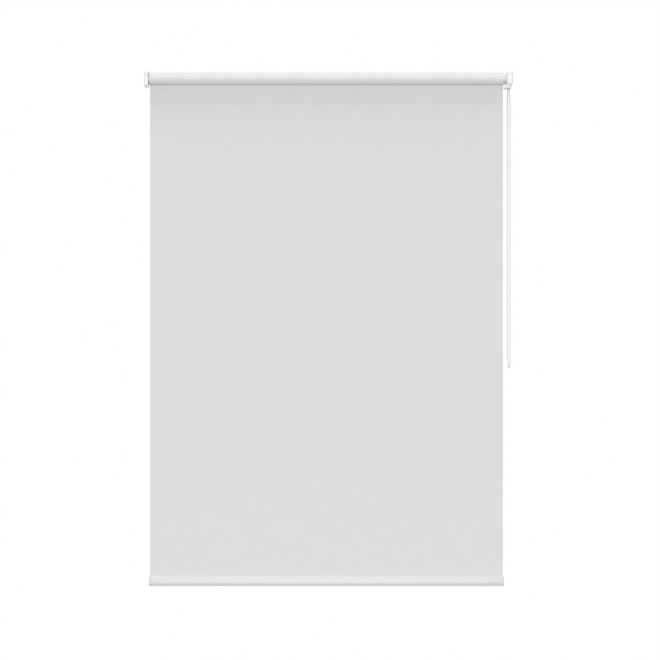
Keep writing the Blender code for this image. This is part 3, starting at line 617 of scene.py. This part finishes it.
rollCentreRadius = cloth["rollRadius"] - cloth["thickness"] / 2
fabricRoll = growPiece("fabricRoll", bpy.data.meshes.new("fabricRoll"), rollTree(), {
    "Width": 2 * edgeX,
    "Columns": cloth["stepsAcross"] + 1,
    "Steps": round(cloth["stepsPerTurn"] * cloth["turns"]) + 1,
    "Turns": cloth["turns"],
    "Outer Radius": rollCentreRadius,
    "Layer Pitch": cloth["layerPitch"],
    "Ridge Angle": math.radians(cloth["ridgeAngle"]),
    "Ridge Height": cloth["ridgeHeight"],
    "Centre": (0.0, axisY, axisZ),
    # the wound cloth's material is painted lighter than the panel's, to brighten the roll's shading
    "Material": woundCloth,
})
addShell(fabricRoll, cloth["thickness"], 0)
settle(fabricRoll, cloth["sharpAngle"])
standFor(fabricRoll, "fabric_roll", "roller")

sheetY = (panelBox[0].y + panelBox[1].y) / 2
lipRadius = sheetY - axisY


def panelWay():
    # the cloth's (y, z) way: down the roll's back, then straight into the bar's slot
    bottom = panelBox[0].z
    lip = arc((axisY, axisZ), lipRadius, cloth["lipAngle"], 0, cloth["lipSteps"])
    rows = cloth["panelRows"]
    return lip[:-1] + [(sheetY, axisZ + (bottom - axisZ) * i / rows) for i in range(rows + 1)]


def swayAt(x, down):
    # two slow waves over the cloth, lifted so that they stay on one side of it
    across, acrossStart, along, alongStart = cloth["broadWave"]
    broad = math.sin(across * x + acrossStart) * math.cos(along * down + alongStart)
    across, acrossStart, along, alongStart = cloth["narrowWave"]
    narrow = math.sin(across * x + acrossStart + along * down + alongStart)
    share = cloth["narrowShare"]
    return 1 + share + broad + share * narrow


def curlAt(x):
    # the side edges turn back a little
    inward = (edgeX - abs(x)) / cloth["edgeReach"]
    return math.exp(-((inward - cloth["curlPeak"]) / cloth["curlSpread"]) ** 2)


def makeFabricPanel():
    # one skin of cloth, with the length of cloth down its way
    columns = [edgeX * (2 * i / cloth["panelColumns"] - 1) for i in range(cloth["panelColumns"] + 1)]
    for inset in cloth["edgeColumns"]:
        columns += [-edgeX + inset, edgeX - inset]
    columns.sort()
    way = panelWay()
    body = bmesh.new()
    pattern = body.verts.layers.float_vector.new("clothPlace")
    grid = []
    run = 0.0
    for k, (y, z) in enumerate(way):
        if k:
            run += math.hypot(y - way[k - 1][0], z - way[k - 1][1])
        down = axisZ - z
        free = smoothstep((down - cloth["swayStart"]) / cloth["swayFadeHigh"])
        free *= smoothstep((z - panelBox[0].z - cloth["swayStart"]) / cloth["swayFadeLow"])
        curling = smoothstep(down / cloth["curlFade"])
        row = []
        for x in columns:
            back = free * cloth["sway"] * swayAt(x, down) + curling * cloth["edgeCurl"] * curlAt(x)
            vert = body.verts.new((x, y + back, z))
            vert[pattern] = (x, run, 0)
            row.append(vert)
        grid.append(row)
    for upper, lower in zip(grid, grid[1:]):
        for i in range(len(columns) - 1):
            body.faces.new((upper[i], lower[i], lower[i + 1], upper[i + 1]))
    return makePiece("fabricPanel", body, blindCloth), run


fabricPanel, panelRun = makeFabricPanel()
addShell(fabricPanel, cloth["thickness"], 0)
settle(fabricPanel, cloth["sharpAngle"])
standFor(fabricPanel, "fabric_panel", "root")
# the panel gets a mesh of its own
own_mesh(fabricPanel)
print("fabric: roll of", cloth["turns"], "turns and a panel", round(panelRun, 4), "m long")


# bottom bar with its caps

bar = {
    "height": 26 * mm,
    "edgeHalf": 3.0 * mm,
    "bulge": 3.2 * mm,
    "foot": 8 * mm,  # rounded lower end of the section
    "footEnd": 0.97,  # share of the foot's ellipse, which leaves a narrow flat underside
    "wall": 1.2 * mm,
    "slotHalf": 0.8 * mm,
    "webTop": 6.6 * mm,
    "web": 1.2 * mm,
    "steps": 36,
    "hollowSteps": 16,
    "channelSteps": 8,
    "edgeRound": 0.45 * mm,
    "edgeSteps": 3,
    "edgeAngle": 35,
    "capRim": 0.5 * mm,
    "capLength": 1.6 * mm,
    "capGap": 0.3 * mm,
    "capCrown": 6,  # rings that round its outer face
    "capSkirt": 0.5,  # share of the length that stays straight, and that is left at the top
    "capSlope": 0.4,  # share of the height over which the top slopes back
    "capFallAcross": 0.16,  # how far the crown narrows, front to back
    "capFallAlong": 0.06,  # and top to bottom
    "capSharpAngle": 40,
    "prongOverlap": 0.25,  # share of the cap's length that the prong reaches into
}
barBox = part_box("bottom_bar")
barY = (barBox[0].y + barBox[1].y) / 2
barTop = barBox[1].z


def barHalf(depth):
    # half the bar's thickness at a depth under its top
    bulged = bar["edgeHalf"] + bar["bulge"] * (1 - (2 * depth / bar["height"] - 1) ** 2)
    intoFoot = max(0.0, depth - bar["height"] + bar["foot"]) / bar["foot"]
    return bulged * math.sqrt(1 - min(intoFoot, bar["footEnd"]) ** 2)


def barSide(inset, top, bottom, steps, side):
    # one side of the bar's (y, z) outline, from a depth to a lower one, with shorter steps in the foot
    depths = [top + (bottom - top) * math.sin(math.pi / 2 * i / steps) for i in range(steps + 1)]
    return [(barY + side * (barHalf(depth) - inset), barTop - depth) for depth in depths]


def barRound(inset, top, bottom, steps, side=1):
    # down one side and up the other
    way = barSide(inset, top, bottom, steps, side)
    return way + barSide(inset, top, bottom, steps, -side)[::-1]


def makeBottomBar():
    wall = bar["wall"]
    slot = bar["slotHalf"]
    outline = barRound(0, 0, bar["height"], bar["steps"])
    outline += [(barY - slot, barTop), (barY - slot, barTop - wall)]
    outline += barRound(wall, wall, bar["webTop"], bar["channelSteps"], -1)
    outline += [(barY + slot, barTop - wall), (barY + slot, barTop)]
    room = barRound(wall, bar["webTop"] + bar["web"], bar["height"] - wall, bar["hollowSteps"])
    return makePiece("bottomBar", extrudeX([outline, room], barBox[0].x, barBox[1].x), paintedAluminium)


bottomBar = makeBottomBar()
addBevel(bottomBar, bar["edgeRound"], bar["edgeSteps"], bar["edgeAngle"])
settle(bottomBar)
standFor(bottomBar, "bottom_bar", "bottom_bar")


def capProng(tip, root):
    # a plug that fits in the bar's hollow
    inset = bar["wall"] + bar["capGap"]
    top = bar["webTop"] + bar["web"] + bar["capGap"]
    outline = barRound(inset, top, bar["height"] - inset, bar["hollowSteps"])
    return takeMesh("prong", extrudeX([outline], tip, root))


def makeBarCap(name, node, side):
    # a lid that stands proud of the bar, crowned towards its middle, over a prong in the bar's hollow
    start = barBox[1].x + bar["capGap"]
    half = bar["height"] / 2
    middleZ = barTop - half
    rim = bar["capRim"]
    full = barRound(-rim, 0, bar["height"], bar["steps"])
    full = [(y, z - rim * smoothstep((middleZ - z) / half)) for y, z in full]
    body = bmesh.new()
    rings = [[body.verts.new((side * start, y, z)) for y, z in full]]
    skirt = bar["capSkirt"]
    for i in range(bar["capCrown"] + 1):
        lean = math.radians(90 * i / bar["capCrown"])
        fallen = 1 - math.cos(lean)
        reach = bar["capLength"] * (skirt + (1 - skirt) * math.sin(lean))
        ring = []
        for y, z in full:
            # the crown is shallower at the top, where the cap meets the cloth
            deep = smoothstep((barTop - z) / (bar["capSlope"] * bar["height"]))
            ring.append(body.verts.new((
                side * (start + reach * (skirt + (1 - skirt) * deep)),
                barY + (y - barY) * (1 - bar["capFallAcross"] * fallen),
                middleZ + (z - middleZ) * (1 - bar["capFallAlong"] * fallen))))
        rings.append(ring)
    for a, b in zip(rings, rings[1:]):
        for i in range(len(full)):
            k = (i + 1) % len(full)
            body.faces.new((a[i], a[k], b[k], b[i]))
    body.faces.new(rings[0])
    body.faces.new(rings[-1])
    low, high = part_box(node)
    tip = high.x if side < 0 else low.x
    prong = capProng(tip, side * (start + bar["prongOverlap"] * bar["capLength"]))
    body.from_mesh(prong)
    bpy.data.meshes.remove(prong)
    bmesh.ops.recalc_face_normals(body, faces=body.faces)
    return makePiece(name, body, absSatinTinted, bar["capSharpAngle"])


for capName, capNode, capSide in (
    ("barCapLeft", "bar_cap_left", -1),
    ("barCapRight", "bar_cap_right", 1),
):
    standFor(makeBarCap(capName, capNode, capSide), capNode, "bottom_bar")
print("bottom bar and caps are made")


# bracket covers

cover = {
    "wall": 1.5 * mm,
    "edgeRoundLeft": 2.5 * mm,
    "edgeRoundRight": 2.9 * mm,
    "edgeSteps": 8,
    "highRound": 6 * mm,
    "lowRoundLeft": 6 * mm,
    "lowRoundRight": 3.5 * mm,
    "cornerSteps": 14,
    "lipRound": 0.25 * mm,
    "lipSteps": 2,
    "lipAngle": 60,
    "plateRoom": 2.3 * mm,  # bracket plate with its gap
    "notchExtra": 0.3 * mm,
    "tolerance": 0.001 * mm,
}


def liesIn(item, axis, place):
    # whether an edge or face lies in the plane at that place across the axis
    return all(abs(v.co[axis] - place) < cover["tolerance"] for v in item.verts)


def makeCover(name, node, side, edgeRound, lowRound):
    # a box rounded at its outer end, hollow and open to the wall and to the roller
    low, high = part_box(node)
    outer = low.x if side < 0 else high.x
    inner = high.x if side < 0 else low.x
    front, back = low.y, high.y
    top = cover["highRound"]
    steps = cover["cornerSteps"]
    outline = [(back, low.z)]
    outline += arc((front + lowRound, low.z + lowRound), lowRound, 270, 180, steps)
    outline += arc((front + top, high.z - top), top, 180, 90, steps)
    outline.append((back, high.z))
    body = extrudeX([outline], inner, outer)
    rim = [e for e in body.edges if liesIn(e, 0, outer) and not liesIn(e, 1, back)]
    bmesh.ops.bevel(body, geom=rim, offset=edgeRound, segments=cover["edgeSteps"],
                    profile=0.5, affect="EDGES", clamp_overlap=False)
    opened = [f for f in body.faces if liesIn(f, 0, inner) or liesIn(f, 1, back)]
    bmesh.ops.delete(body, geom=opened, context="FACES")
    piece = makePiece(name, body, absSatin)
    addShell(piece, cover["wall"], -1)
    return settle(piece)


def finishCover(piece, node):
    # broken edges, then its place on the frame
    addBevel(piece, cover["lipRound"], cover["lipSteps"], cover["lipAngle"])
    settle(piece)
    standFor(piece, node, "root")


leftCover = makeCover(
    "leftBracketCover", "left_bracket_cover", -1, cover["edgeRoundLeft"], cover["lowRoundLeft"])
finishCover(leftCover, "left_bracket_cover")

rightCover = makeCover(
    "rightBracketCover", "right_bracket_cover", 1, cover["edgeRoundRight"], cover["lowRoundRight"])
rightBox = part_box("right_bracket_cover")
notchEnd = rightBox[1].x - cover["wall"] - cover["plateRoom"]  # the bracket plate stays covered
# its underside is open between the plate and the roller, where the chain guard comes out
notch = boxBody(
    (rightBox[0].x - mm, rightBox[0].y + cover["wall"], rightBox[0].z - mm),
    (notchEnd, rightBox[1].y + mm, rightBox[0].z + cover["wall"] + cover["notchExtra"]))
cutAway(rightCover, notch)
finishCover(rightCover, "right_bracket_cover")
print("bracket covers are made")


# bead chain

chain = {
    "beadDiameter": 4.5 * mm,
    "beadPitch": 6 * mm,
    "threadDiameter": 1.3 * mm,
    "threadSides": 6,
    "beadSegments": 16,
    "beadRings": 10,
    "pointsPerStretch": 14,
    "sharpAngle": 60,
}
chainRoute = [
    (0.4630, -0.03025, 0.01159),
    (0.4630, -0.03580, 0.01004),
    (0.4630, -0.04004, 0.00580),
    (0.4630, -0.04159, 0.00000),
    (0.4630, -0.04164, -0.01000),
    (0.4640, -0.04180, -0.02600),
    (0.4654, -0.04200, -0.06000),
    (0.4659, -0.04190, -0.15000),
    (0.4661, -0.04160, -0.30000),
    (0.4661, -0.04130, -0.45000),
    (0.4660, -0.04100, -0.60000),
    (0.4659, -0.04075, -0.69400),
    (0.4657, -0.04060, -0.72400),
    (0.4648, -0.03790, -0.73150),
    (0.4634, -0.03020, -0.73580),
    (0.4620, -0.02250, -0.73150),
    (0.4612, -0.01980, -0.72400),
    (0.4611, -0.01960, -0.69400),
    (0.4610, -0.01920, -0.60000),
    (0.4610, -0.01880, -0.45000),
    (0.4610, -0.01850, -0.30000),
    (0.4611, -0.01820, -0.15000),
    (0.4613, -0.01810, -0.06000),
    (0.4622, -0.01825, -0.02600),
    (0.4630, -0.01838, -0.01000),
    (0.4630, -0.01841, 0.00000),
    (0.4630, -0.01996, 0.00580),
    (0.4630, -0.02420, 0.01004),
    (0.4630, -0.02975, 0.01159),
]


def tangent(before, here, after):
    # the direction of the circle through three points, at the middle one
    arriving = here - before
    leaving = after - here
    mixed = arriving.normalized() * leaving.length + leaving.normalized() * arriving.length
    return mixed.normalized()


def smoothLine(route, steps):
    # a smooth curve through all the points of the route
    points = [Vector(point) for point in route]
    padded = [2 * points[0] - points[1]] + points + [2 * points[-1] - points[-2]]
    line = [points[0]]
    for k in range(len(points) - 1):
        before, start, end, after = padded[k:k + 4]
        span = (end - start).length
        startSlope = tangent(before, start, end) * span
        endSlope = tangent(start, end, after) * span
        for i in range(1, steps + 1):
            t = i / steps
            spot = start * (2 * t**3 - 3 * t**2 + 1) + end * (3 * t**2 - 2 * t**3)
            line.append(spot + startSlope * (t**3 - 2 * t**2 + t) + endSlope * (t**3 - t**2))
    return line


def chainTree():
    # beads threaded on a closed line, each turned along it
    tree, given = startTree("threadedBeads", {
        "Bead Radius": ("NodeSocketFloat", 0.002),
        "Thread Radius": ("NodeSocketFloat", 0.0005),
        "Bead Count": ("NodeSocketInt", 100),
        "Segments": ("NodeSocketInt", 12),
        "Rings": ("NodeSocketInt", 8),
        "Material": ("NodeSocketMaterial", None),
    })
    line = addNode(tree, "GeometryNodeMeshToCurve", links={"Mesh": given["Geometry"]})
    spaced = addNode(tree, "GeometryNodeResampleCurve", links={
        "Curve": line.outputs["Curve"], "Count": given["Bead Count"]})
    bead = addNode(tree, "GeometryNodeMeshUVSphere", links={
        "Radius": given["Bead Radius"], "Segments": given["Segments"], "Rings": given["Rings"]})
    along = addNode(tree, "GeometryNodeInputTangent")
    turned = addNode(tree, "FunctionNodeAlignRotationToVector", props={"axis": "Z"}, links={
        "Vector": along.outputs["Tangent"]})
    beads = addNode(tree, "GeometryNodeInstanceOnPoints", links={
        "Points": spaced.outputs["Curve"], "Instance": bead.outputs["Mesh"],
        "Rotation": turned.outputs["Rotation"]})
    ring = addNode(tree, "GeometryNodeCurvePrimitiveCircle", values={"Resolution": chain["threadSides"]},
                   links={"Radius": given["Thread Radius"]})
    thread = addNode(tree, "GeometryNodeCurveToMesh", links={
        "Curve": line.outputs["Curve"], "Profile Curve": ring.outputs["Curve"]})
    both = addNode(tree, "GeometryNodeJoinGeometry")
    tree.links.new(beads.outputs["Instances"], both.inputs["Geometry"])
    tree.links.new(thread.outputs["Mesh"], both.inputs["Geometry"])
    endTree(tree, both.outputs["Geometry"], given["Material"])
    return tree


chainLine = smoothLine(chainRoute, chain["pointsPerStretch"])
chainLength = sum((b - a).length for a, b in zip(chainLine, chainLine[1:]))
loopLength = chainLength + (chainLine[0] - chainLine[-1]).length
beadCount = round(loopLength / chain["beadPitch"])
beadChain = growPiece("beadChain", lineMesh("beadChain", chainLine, closed=True), chainTree(), {
    "Bead Radius": chain["beadDiameter"] / 2,
    "Thread Radius": chain["threadDiameter"] / 2,
    "Bead Count": beadCount,
    "Segments": chain["beadSegments"],
    "Rings": chain["beadRings"],
    "Material": acetalGloss,
}, chain["sharpAngle"])
standFor(beadChain, "bead_chain", "root")
print("bead chain:", beadCount, "beads on", round(loopLength, 4), "m")


# springs

spring = {
    "wireSides": 10,
    "stepsPerTurn": 28,
    "idleWire": 0.8 * mm,
    "idleTurns": 9,
    "deadTurns": 1.2,  # closed turns at each end of the compression spring
    "deadPitch": 2.2,  # of the closed turns, in wire radii
    "clutchWire": 0.9 * mm,
    "clutchCoil": 10.5 * mm,  # diameter to the wire's middle
    "clutchTurns": 5,
    "clutchPitch": 1.2 * mm,
    "keywayAngle": 90,  # from the wall side up
    "endAngle": 25,  # from the keyway's middle to each bent end
    "endReach": 7.0 * mm,
    "sharpAngle": 60,
}


def wireTree():
    # round wire along a line, with closed ends
    tree, given = startTree("roundWire", {
        "Wire Radius": ("NodeSocketFloat", 0.0005),
        "Sides": ("NodeSocketInt", 8),
        "Material": ("NodeSocketMaterial", None),
    })
    line = addNode(tree, "GeometryNodeMeshToCurve", links={"Mesh": given["Geometry"]})
    ring = addNode(tree, "GeometryNodeCurvePrimitiveCircle", links={
        "Resolution": given["Sides"], "Radius": given["Wire Radius"]})
    swept = addNode(tree, "GeometryNodeCurveToMesh", values={"Fill Caps": True}, links={
        "Curve": line.outputs["Curve"], "Profile Curve": ring.outputs["Curve"]})
    endTree(tree, swept.outputs["Mesh"], given["Material"])
    return tree


wire = wireTree()


def coilPoints(start, end, coilRadius, turns, firstAngle, wireRadius, deadTurns):
    # a helix along X whose end turns lie close together
    count = round(turns * spring["stepsPerTurn"])
    dead = deadTurns * spring["deadPitch"] * wireRadius
    points = []
    for i in range(count + 1):
        turn = turns * i / count
        if deadTurns and turn < deadTurns:
            x = start + dead * turn / deadTurns
        elif deadTurns and turn > turns - deadTurns:
            x = end - dead * (turns - turn) / deadTurns
        else:
            share = (turn - deadTurns) / (turns - 2 * deadTurns)
            x = start + dead + (end - start - 2 * dead) * share
        angle = firstAngle + 2 * math.pi * turn
        points.append((x, axisY + coilRadius * math.cos(angle), axisZ + coilRadius * math.sin(angle)))
    return points


def makeIdleSpring():
    low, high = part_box("idle_spring")
    wireRadius = spring["idleWire"] / 2
    coilRadius = (high.z - low.z) / 2 - wireRadius
    start = low.x + wireRadius
    end = high.x - wireRadius
    points = coilPoints(start, end, coilRadius, spring["idleTurns"], 0, wireRadius, spring["deadTurns"])
    return growPiece("idleSpring", lineMesh("idleSpring", points), wire, {
        "Wire Radius": wireRadius, "Sides": spring["wireSides"], "Material": springSteel},
        spring["sharpAngle"])


idleSpring = makeIdleSpring()
standFor(idleSpring, "idle_spring", "roller")
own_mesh(idleSpring)


def makeClutchSpring(name, node):
    # a wrap spring, its two ends bent out to reach into the drive plug's keyway
    low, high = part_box(node)
    wireRadius = spring["clutchWire"] / 2
    coilRadius = spring["clutchCoil"] / 2
    turns = spring["clutchTurns"] - 2 * spring["endAngle"] / 360
    middle = (low.x + high.x) / 2
    half = spring["clutchPitch"] * turns / 2
    firstAngle = math.radians(spring["keywayAngle"] + spring["endAngle"])
    points = coilPoints(middle - half, middle + half, coilRadius, turns, firstAngle, wireRadius, 0)
    reach = spring["endReach"] / coilRadius
    ends = []
    for x, y, z in (points[0], points[-1]):
        ends.append((x, axisY + (y - axisY) * reach, axisZ + (z - axisZ) * reach))
    points = [ends[0]] + points + [ends[1]]
    return growPiece(name, lineMesh(name, points), wire, {
        "Wire Radius": wireRadius, "Sides": spring["wireSides"], "Material": springSteel},
        spring["sharpAngle"])


for springName, springNode in (
    ("clutchSpringInner", "clutch_spring_inner"),
    ("clutchSpringOuter", "clutch_spring_outer"),
):
    standFor(makeClutchSpring(springName, springNode), springNode, "roller")
print("springs are made")


# pieces that keep their CAD shape, with merged faces and broken edges

keptShape = {
    "weldDistance": 0.002 * mm,
    "flatAngle": 1,
    "sharpAngle": 32,
    "edgeSteps": 2,
    "edgeAngle": 40,
}
kept = {
    # node: (piece, body, material, slot, edge width)
    "left_bracket": ("leftBracket", "root", paintedSteel, "bracket_steel", 0.35 * mm),
    "right_bracket": ("rightBracket", "root", paintedSteel, "bracket_steel", 0.35 * mm),
    "chain_guard": ("chainGuard", "root", absSatinTinted, "clutch_plastic", 0.25 * mm),
    "clutch_base": ("clutchBase", "root", nylonMatt, "clutch_plastic", 0.15 * mm),
    "clutch_end_clip": ("clutchEndClip", "root", springSteel, "spring_steel", 0.1 * mm),
    "roller_tube": ("rollerTube", "roller", millAluminium, "roller_aluminium", 0),
    "fabric_spline": ("fabricSpline", "roller", pvcDull, "fixing_plastic", 0.2 * mm),
    "idle_plug": ("idlePlug", "roller", nylonMatt, "clutch_plastic", 0.15 * mm),
    "idle_plug_cap": ("idlePlugCap", "roller", nylonMatt, "clutch_plastic", 0.15 * mm),
    "drive_plug": ("drivePlug", "roller", nylonMatt, "clutch_plastic", 0.15 * mm),
    "chain_wheel": ("chainWheel", "roller", acetalGloss, "clutch_plastic", 0.12 * mm),
    "idle_pin": ("idlePin", "idle_pin", springSteel, "spring_steel", 0.15 * mm),
    "hem_rod": ("hemRod", "bottom_bar", pvcDull, "fixing_plastic", 0.2 * mm),
}

for node, (name, body, material, slot, edge) in kept.items():
    source = bmesh.new()
    source.from_mesh(cadNodes[node].data)
    bmesh.ops.remove_doubles(source, verts=source.verts, dist=keptShape["weldDistance"])
    bmesh.ops.dissolve_limit(source, angle_limit=math.radians(keptShape["flatAngle"]),
                             verts=source.verts, edges=source.edges)
    piece = makePiece(name, source, material, keptShape["sharpAngle"])
    if edge:
        addBevel(piece, edge, keptShape["edgeSteps"], keptShape["edgeAngle"])
        settle(piece, keptShape["sharpAngle"])
    standFor(piece, node, body)
print("kept pieces:", len(kept))


# floor

ground = {
    "drop": 1.20,  # under the bottom bar
    "radius": 0.75,
    "steps": 96,
    "colour": "DCDCDB",
    "roughness": 0.9,
}
floorBody = bmesh.new()
bmesh.ops.create_circle(floorBody, cap_ends=True, segments=ground["steps"], radius=ground["radius"])
bmesh.ops.translate(floorBody, verts=floorBody.verts, vec=(0, 0, cadBox[0].z - ground["drop"]))
floorPaint, _, floorShader = startMaterial("mattFloorPaint")
floorShader.inputs["Base Color"].default_value = toLinear(ground["colour"])
floorShader.inputs["Roughness"].default_value = ground["roughness"]
floor = makePiece("floor", floorBody, floorPaint)
